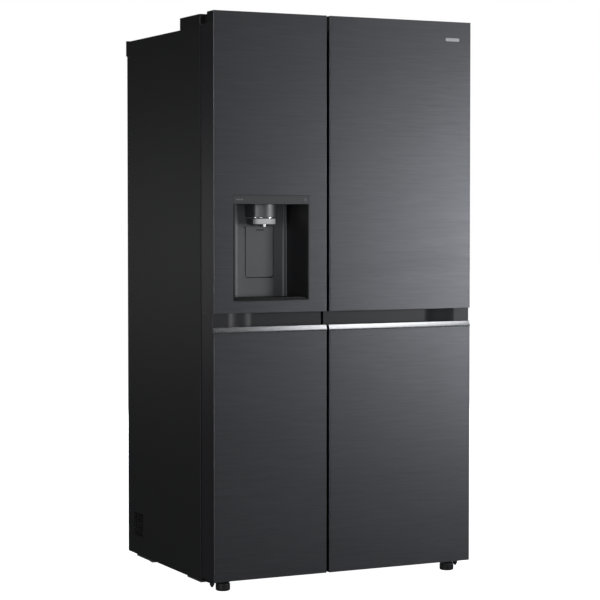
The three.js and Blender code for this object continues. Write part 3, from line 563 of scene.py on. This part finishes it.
# ------------------------------------------------------------------ shelves and drawers
# Toughened glass shelves, green at the edge, each with a satin metal nose. The drawers are
# clear moulded plastic with a framed front and a lip to pull them by.
shelf_glass = finish(
    "shelf_glass", (0.80, 0.90, 0.87), 0.06, scale=60, grain=0.02, bump=0.01, clear=0.85,
)
clear_plastic = finish(
    "clear_plastic", (0.86, 0.89, 0.91), 0.12, scale=90, grain=0.02, bump=0.03, clear=0.72,
)
satin_metal = finish(
    "satin_metal", (0.62, 0.63, 0.65), 0.3, metallic=1.0, scale=1, stretch=(20, 900, 900),
)
for node in [n for n in nodes if "_shelf_" in n]:
    softened(node, 0.8, shelf_glass)
    low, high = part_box(node)
    nose = slab(f"{node}_nose", (low.x + 8 * MM, low.y - 3 * MM, low.z - 4 * MM),
                (high.x - 8 * MM, low.y + 8 * MM, high.z + 2.5 * MM))
    edit_faces(nose, lambda face: face.normal.y < -0.9)
    bpy.ops.mesh.inset(thickness=3 * MM, depth=-1 * MM)
    done()
    round_edges(nose, 1.2, 3)
    dress(nose, satin_metal, "cabinet")
for node in ("freezer_drawer_lower", "freezer_drawer_upper", "crisper_lower", "crisper_upper"):
    drawer = merged_copy(node)
    low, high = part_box(node)
    face_y = low.y + 9 * MM
    edit_faces(
        drawer,
        lambda face, y=face_y: face.normal.y < -0.9 and abs(face.center.y - y) < 0.5 * MM
        and face.area > 0.01,
    )
    bpy.ops.mesh.inset(thickness=16 * MM, depth=0)
    bpy.ops.mesh.inset(thickness=2 * MM, depth=-1.5 * MM)
    done()
    round_edges(drawer, 1.0, 2)
    stand_in(drawer, node, clear_plastic)

# ------------------------------------------------------------------ door cores and gaskets
# Each door is foamed between its steel skin and a white moulded liner with a raised rim. The
# grey gasket around the rim is a soft bellows with a magnet strip in its face.


def on_door(door, u, v, z):
    """A place on a door in millimetres: u from its hinge side, v back from its front."""
    x = left + u * MM if door == "freezer_door" else right - u * MM
    return (x, front + v * MM, z * MM)


def door_slab(name, door, u0, u1, v0, v1, z0, z1):
    """A block on a door between two places, given as for on_door."""
    a, b = on_door(door, u0, v0, z0), on_door(door, u1, v1, z1)
    return slab(name, (min(a[0], b[0]), a[1], a[2]), (max(a[0], b[0]), b[1], b[2]))


DOORS = ("freezer_door", "fridge_door")
gasket_rubber = finish("gasket_rubber", (0.16, 0.163, 0.17), 0.6, scale=600, bump=0.15)
for door in DOORS:
    softened(f"{door}_inner_panel", 1.5, white_liner, 3)
    seal = merged_copy(f"{door}_gasket")
    edit_faces(seal, lambda face: face.normal.y > 0.9)
    bpy.ops.mesh.inset(thickness=4 * MM, depth=0)
    bpy.ops.mesh.inset(thickness=1.5 * MM, depth=-2 * MM)
    done()
    round_edges(seal, 0.8, 3)
    stand_in(seal, f"{door}_gasket", gasket_rubber)

# ------------------------------------------------------------------ door skins
# Each door is skinned in dark coated steel, brushed from side to side. The folds at its edges
# are drawn tight, and the returns down its sides are painted.


def brushed_steel():
    """Dark coated steel with long fine streaks in its colour and height, and slower gloss."""
    made = bpy.data.materials.new("brushed_black_steel")
    made.use_nodes = True
    tree = made.node_tree
    link = tree.links.new
    shader = tree.nodes["Principled BSDF"]
    shader.inputs["Metallic"].default_value = 0.9
    place = tree.nodes.new("ShaderNodeTexCoord")
    streaks = []
    for stretch, detail in (((10, 10, 240), 3), ((26, 26, 1100), 2), ((2, 2, 25), 2)):
        scaled = tree.nodes.new("ShaderNodeMapping")
        scaled.inputs["Scale"].default_value = stretch
        noise = tree.nodes.new("ShaderNodeTexNoise")
        noise.inputs["Scale"].default_value = 1.0
        noise.inputs["Detail"].default_value = detail
        link(place.outputs["Object"], scaled.inputs["Vector"])
        link(scaled.outputs["Vector"], noise.inputs["Vector"])
        streaks.append(noise)
    both = tree.nodes.new("ShaderNodeMath")
    both.operation = "MULTIPLY_ADD"
    both.inputs[1].default_value = 0.6
    link(streaks[1].outputs["Fac"], both.inputs[0])
    link(streaks[0].outputs["Fac"], both.inputs[2])
    tone = tree.nodes.new("ShaderNodeMapRange")
    tone.inputs["From Min"].default_value = 0.4
    tone.inputs["From Max"].default_value = 1.2
    tint = tree.nodes.new("ShaderNodeMix")
    tint.data_type = "RGBA"
    tint.inputs["A"].default_value = (0.105, 0.108, 0.118, 1)
    tint.inputs["B"].default_value = (0.140, 0.144, 0.157, 1)
    rough = tree.nodes.new("ShaderNodeMapRange")
    rough.inputs["To Min"].default_value = 0.36
    rough.inputs["To Max"].default_value = 0.42
    height = tree.nodes.new("ShaderNodeBump")
    height.inputs["Strength"].default_value = 0.12
    height.inputs["Distance"].default_value = 0.0004
    link(both.outputs["Value"], tone.inputs["Value"])
    link(tone.outputs["Result"], tint.inputs["Factor"])
    link(tint.outputs["Result"], shader.inputs["Base Color"])
    link(streaks[2].outputs["Fac"], rough.inputs["Value"])
    link(rough.outputs["Result"], shader.inputs["Roughness"])
    link(both.outputs["Value"], height.inputs["Height"])
    link(height.outputs["Normal"], shader.inputs["Normal"])
    return made


door_steel = brushed_steel()
side_paint = finish(
    "door_side_paint", (0.030, 0.0285, 0.0330), 0.38, metallic=0.3, scale=900, bump=0.1,
)
for door in DOORS:
    for half in ("upper", "lower"):
        skin = softened(f"{door}_skin_{half}", 0.5, door_steel)
        skin.data.materials.append(side_paint)
        for face in skin.data.polygons:
            if abs(face.normal.x) > 0.85:
                face.material_index = 1

# ------------------------------------------------------------------ pocket handles
# A moulded liner forms the pocket behind the fronts: shallow at the hinges, then a soft ramp
# down to full depth. Its lower edge is an aluminium strip, cut at a slant and polished.
pocket_plastic = finish("pocket_plastic", (0.050, 0.051, 0.056), 0.42, metallic=0.35, scale=1200)
strip_metal = finish(
    "polished_strip", (0.50, 0.51, 0.53), 0.2, metallic=1.0, scale=1, bump=0.02, stretch=(8, 8, 1500),
)
for door in DOORS:
    softened(f"{door}_handle_pocket", 0.4, pocket_plastic, angle=35)
    trim = softened(f"{door}_handle_trim", 0.3, door_steel, angle=15)
    trim.data.materials.append(strip_metal)
    for face in trim.data.polygons:
        if face.normal.y < -0.5 and face.normal.z > 0.15:
            face.material_index = 1

# ------------------------------------------------------------------ door caps and badge
# A black moulding closes the top of each door and leaves room for the hinge behind it. A
# blank satin plate sits where a maker would put a name.
for door, side in zip(DOORS, (-1, 1)):
    softened(f"{door}_cap", 0.8, black_plastic)
    edge = Vector(on_door(door, 0, 31, 1762)) - Vector((side * 2.45 * MM, 0, 0))
    screws(f"{door}_cap_screw", [edge], "x", side, 3, door)
badge_metal = finish("badge_metal", (0.62, 0.63, 0.65), 0.4, metallic=0.35, scale=600)
badge = door_slab("blank_badge", "fridge_door", 44, 95, -0.05, 0.5, 1727, 1737.5)
edit_edges(badge, lambda a, b: abs(a.y - b.y) > 0.5 * MM)
bpy.ops.mesh.bevel(offset=4 * MM, segments=6, affect="EDGES")
done()
edit_faces(badge, lambda face: face.normal.y < -0.9)
bpy.ops.mesh.inset(thickness=0.5 * MM, depth=-0.01 * MM)
done()
dress(badge, badge_metal, "fridge_door")

# ------------------------------------------------------------------ dispenser housing
# One black moulding lines the bay in the door. Its back is satin grey with a raised bead down
# the right, and a rounded recess holds the paddle. The film above carries plain signs.


bay_black = finish("bay_black", (0.0105, 0.0105, 0.0120), 0.34, scale=1200)
bay_grey = finish("bay_grey", (0.22, 0.223, 0.235), 0.46, metallic=0.2, scale=1200, bump=0.08)
film = finish("control_film", (0.105, 0.107, 0.114), 0.42, metallic=0.25, scale=900)
sign_grey = finish("sign_grey", (0.34, 0.345, 0.35), 0.5, scale=900)
x_of = lambda u: left + u * MM
z_of = lambda z: z * MM
housing = merged_copy("dispenser_housing")
round_corners(housing, [(x_of(103), front + 92 * MM, None)], 20, 6)
round_corners(housing, [(x_of(289), front + 92 * MM, None)], 4, 3)
round_corners(
    housing,
    [(x_of(u), None, z_of(z)) for u in (147, 246) for z in (969, 1134)], 9, 5,
)
round_edges(housing, 0.7, 2, 32)
stand_in(housing, "dispenser_housing", bay_black)
housing.data.materials.append(bay_grey)
for face in housing.data.polygons:
    if face.normal.y < -0.5 and face.center.y > front + 60 * MM:
        face.material_index = 1
softened("dispenser_panel", 0.5, film)
bead = door_slab("bay_bead", "freezer_door", 277, 286.5, 87.5, 92.6, 907, 1199.5)
edit_edges(bead, lambda a, b: abs(a.z - b.z) > 0.1 and a.y < front + 88 * MM)
bpy.ops.mesh.bevel(offset=3.6 * MM, segments=5, affect="EDGES")
done()
bpy.ops.object.shade_smooth_by_angle(angle=math.radians(40))
dress(bead, bay_grey, "freezer_door")
signs = []
for u0, u1, z0, z1 in (
    (76, 82, 1212, 1215.5), (84, 90, 1212, 1215.5), (92, 98, 1212, 1215.5),
    (310, 316, 1215.5, 1217), (310, 311.5, 1209, 1215.5), (314.5, 316, 1209, 1215.5),
):
    sign = door_slab("sign", "freezer_door", u0, u1, -0.04, 0.3, z0, z1)
    edit_edges(sign, lambda a, b: abs(a.y - b.y) > 0.2 * MM)
    bpy.ops.mesh.bevel(offset=0.5 * MM, segments=2, affect="EDGES")
    done()
    signs.append(sign)
dress(merge("control_signs", signs), sign_grey, "freezer_door")

# ------------------------------------------------------------------ spout, paddle and tray
# The ice chute is a smoked chrome hood with a silver slider around its ring, coloured near white
# as a painted reflection, and a small water nozzle below. The paddle behind it hangs on two pins, and
# a slotted tray catches drips.
smoked_chrome = finish("smoked_chrome", (0.24, 0.245, 0.255), 0.5, metallic=1.0, scale=700)
bright_chrome = finish("bright_chrome", (0.80, 0.81, 0.83), 0.16, metallic=1.0, scale=700)
# The slider's near-white colour is its pale silver finish plus a painted reflection of the lights.
slider_painted_sheen = finish("slider_painted_sheen", (0.97, 0.97, 0.98), 0.45, scale=900)
spout_axis = Vector(on_door("freezer_door", 196, 80, 0))
softened("dispenser_spout", 0.8, smoked_chrome, 3)


def band(name, radius, z0, z1, half, thick, material):
    """A thin curved plate around the front of the spout."""
    low, high = z0 * MM, z1 * MM
    piece = disc(name, (*spout_axis.xy, (low + high) / 2), radius * MM, high - low, "z", 96)
    edit_faces(
        piece,
        lambda face: abs(face.normal.z) > 0.9
        or abs(math.degrees(math.atan2(*((face.center - spout_axis).xy * Vector((1, -1)))))) > half,
    )
    bpy.ops.mesh.delete(type="FACE")
    done()
    apply_modifier(piece, "SOLIDIFY", thickness=thick * MM, offset=1)
    round_edges(piece, 0.3, 2)
    return dress(piece, material, "freezer_door")


# The slider takes the near-white painted reflection colour.
band("spout_slider", 44.2, 1138.2, 1154.6, 56, 2.4, slider_painted_sheen)
band("spout_ring", 49.8, 1156.8, 1158.8, 110, 0.6, bright_chrome)
nozzle = disc("water_nozzle", on_door("freezer_door", 189, 38.5, 1135), 4.4 * MM, 11 * MM, "z", 24)
edit_faces(nozzle, lambda face: face.normal.z < -0.9)
bpy.ops.mesh.inset(thickness=1.2 * MM, depth=0)
bpy.ops.mesh.inset(thickness=0.4 * MM, depth=-4 * MM)
done()
round_edges(nozzle, 0.7, 3)
dress(nozzle, bright_chrome, "freezer_door")

paddle = merged_copy("dispenser_paddle")
round_corners(
    paddle, [(x_of(u), None, z_of(z)) for u in (149, 244) for z in (972, 1132)], 7.5, 5,
)
round_edges(paddle, 0.7, 2)
stand_in(paddle, "dispenser_paddle", bay_grey)
mark = door_slab("paddle_mark", "freezer_door", 185, 212, 90.85, 91.5, 1117.5, 1121)
edit_edges(mark, lambda a, b: abs(a.y - b.y) > 0.5 * MM)
bpy.ops.mesh.bevel(offset=1.6 * MM, segments=4, affect="EDGES")
done()
dress(mark, bay_black, "paddle")
softened("drip_tray", 0.5, bay_black)

# ------------------------------------------------------------------ door bins and ice bank
# Clear moulded bins hook on to the door liners, each with a white band along its open side.
# The ice bank on the freezer door holds a steel screw that drives the ice to the chute.
softened("ice_bank", 1.2, clear_plastic)
for node, door in (
    ("freezer_bin", "freezer_door"), ("fridge_bin_upper", "fridge_door"),
    ("fridge_bin_lower", "fridge_door"),
):
    softened(node, 1.0, clear_plastic)
    low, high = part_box(node)
    rail = slab(f"{node}_band", (low.x + 24 * MM, high.y - 0.4 * MM, high.z - 27 * MM),
                (high.x - 24 * MM, high.y + 1.4 * MM, high.z - 7 * MM))
    edit_faces(rail, lambda face: face.normal.y > 0.9)
    bpy.ops.mesh.inset(thickness=3 * MM, depth=-0.5 * MM)
    done()
    round_edges(rail, 0.5)
    dress(rail, white_liner, door)
low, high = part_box("ice_bank")
middle = (low + high) / 2
turns = 5
auger = [
    (
        middle.x + 34 * MM * math.cos(step * math.pi / 6),
        low.y + 18 * MM + (high.y - low.y - 36 * MM) * step / (12 * turns),
        low.z + 48 * MM + 34 * MM * math.sin(step * math.pi / 6),
    )
    for step in range(12 * turns + 1)
]
pipe("ice_screw", auger, 3.5, bolt_zinc, "freezer_door")

# ------------------------------------------------------------------ hinges and their covers
# Joggled plates carry the doors: the upper ones, zinc plated, are screwed to the case under
# moulded covers, and the lower ones are black brackets at the front corners.
bracket_black = finish("bracket_black", (0.016, 0.016, 0.018), 0.42, metallic=0.4, scale=600)
for side, door in zip(("left", "right"), DOORS):
    softened(f"hinge_top_{side}", 0.4, bolt_zinc)
    softened(f"hinge_cover_{side}", 1.4, black_plastic, 3)
    softened(f"hinge_bottom_{side}", 0.4, bracket_black)
    screws(f"hinge_cover_screw_{side}", [on_door(door, 76, 190, 1787.1)], "z", 1, 5.5, "cabinet")
    screws(
        f"hinge_bracket_screws_{side}", [on_door(door, u, 101.2, 47) for u in (38, 67)],
        "y", -1, 5, "cabinet",
    )

# ------------------------------------------------------------------ feet and rollers
# Levelling feet screw up and down under the lower hinges and have ribbed rims to grip. Two
# plastic rollers carry the rear.
foot_rubber = finish("foot_rubber", (0.014, 0.014, 0.015), 0.5, scale=800, bump=0.15)
for side, door in zip(("left", "right"), DOORS):
    foot = merged_copy(f"foot_{side}")
    axis = Vector(on_door(door, 54, 56, 0))

    def in_rib(face, axis=axis):
        out = face.center - axis
        turn = round(math.degrees(math.atan2(out.y, out.x)) / 15 - 0.5)
        return abs(face.normal.z) < 0.1 and 8 < face.center.z / MM < 18 and turn % 2 == 0

    edit_faces(foot, in_rib)
    bpy.ops.mesh.inset(thickness=0.8 * MM, depth=-1.4 * MM, use_individual=True)
    done()
    round_edges(foot, 0.4)
    stand_in(foot, f"foot_{side}", foot_rubber)
    softened(f"roller_{side}", 0.5, white_liner)
